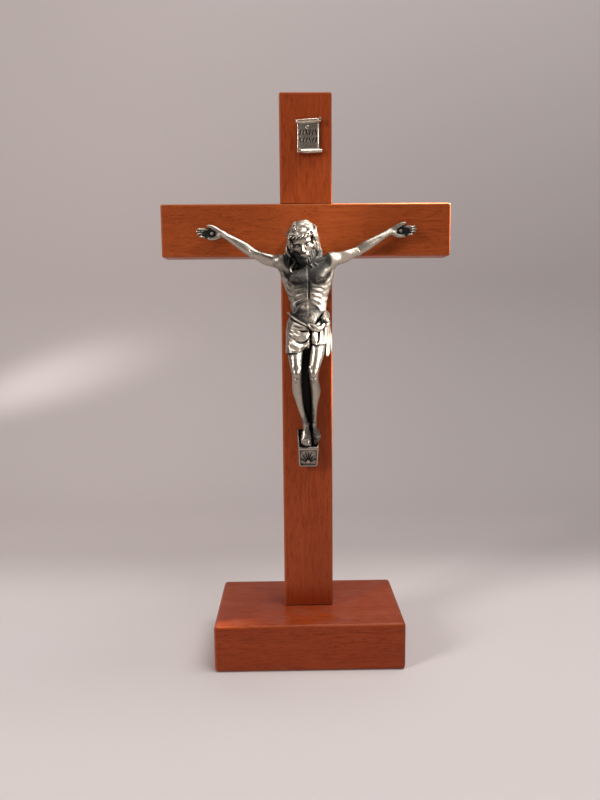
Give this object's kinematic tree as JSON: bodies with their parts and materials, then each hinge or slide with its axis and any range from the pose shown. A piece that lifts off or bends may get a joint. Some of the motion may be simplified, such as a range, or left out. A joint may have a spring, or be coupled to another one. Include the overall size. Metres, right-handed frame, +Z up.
{
  "type": "standing wooden crucifix with a cast metal figure",
  "caption": "Small crucifix that stands on its own wooden block, with a cast silver-coloured figure, footrest and scroll nailed to the cross.",
  "frame": {"origin": "middle of the base block's underside", "axes": "+Z up along the upright, +X to the right of a viewer who faces the figure, +Y away from that viewer"},
  "size_m": [0.14, 0.054, 0.278],
  "materials": {
    "wood": "fine-grained hardwood, reddish-brown stain under satin lacquer",
    "metal": "silver-coloured cast metal, black oxide in the hollows, polished on the high parts"
  },
  "bodies": {
    "root": {"base": "wood", "upright": "wood", "crossbeam": "wood", "corpus": "metal", "titulus": "metal", "nail_right_hand": "metal", "nail_left_hand": "metal", "nail_feet": "metal", "nail_titulus": "metal"}
  },
  "joints": []
}
